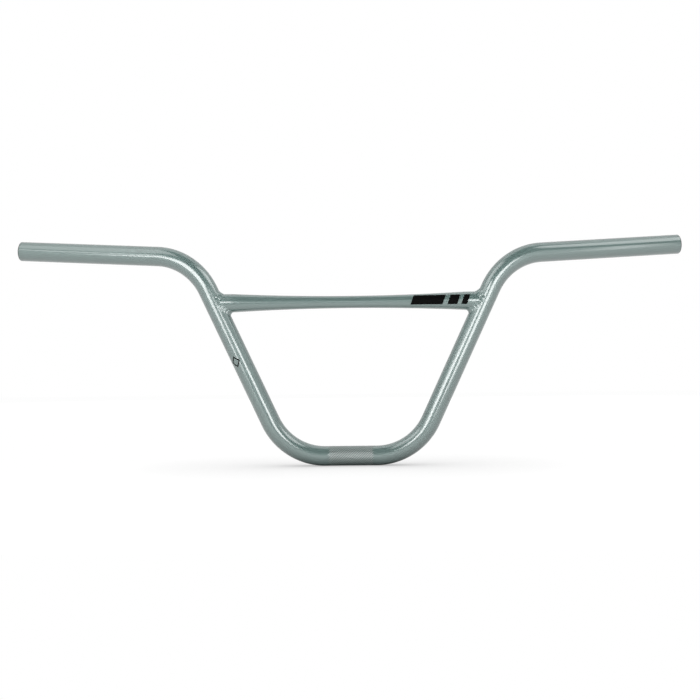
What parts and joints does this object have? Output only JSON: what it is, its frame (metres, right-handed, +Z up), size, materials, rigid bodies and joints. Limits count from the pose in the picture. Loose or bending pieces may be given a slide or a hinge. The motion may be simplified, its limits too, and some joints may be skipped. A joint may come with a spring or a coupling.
{
  "type": "bmx handlebar",
  "caption": "High-rise bicycle handlebar: one bent tube with a tapered crossbar welded between its uprights, a plain clamp span and swept-back ends for grips.",
  "frame": {"origin": "centre of the clamp span, on the tube's axis", "axes": "+X along the clamp span to the right as the picture shows it, +Z up with the uprights in the XZ plane, +Y rearward, the way the grips sweep"},
  "size_m": [0.766, 0.062, 0.2601],
  "materials": {
    "smoke_coat": "gloss"
  },
  "bodies": {
    "root": {"main_tube": "smoke_coat", "crossbar": "smoke_coat", "weld_beads": "smoke_coat"}
  },
  "joints": []
}
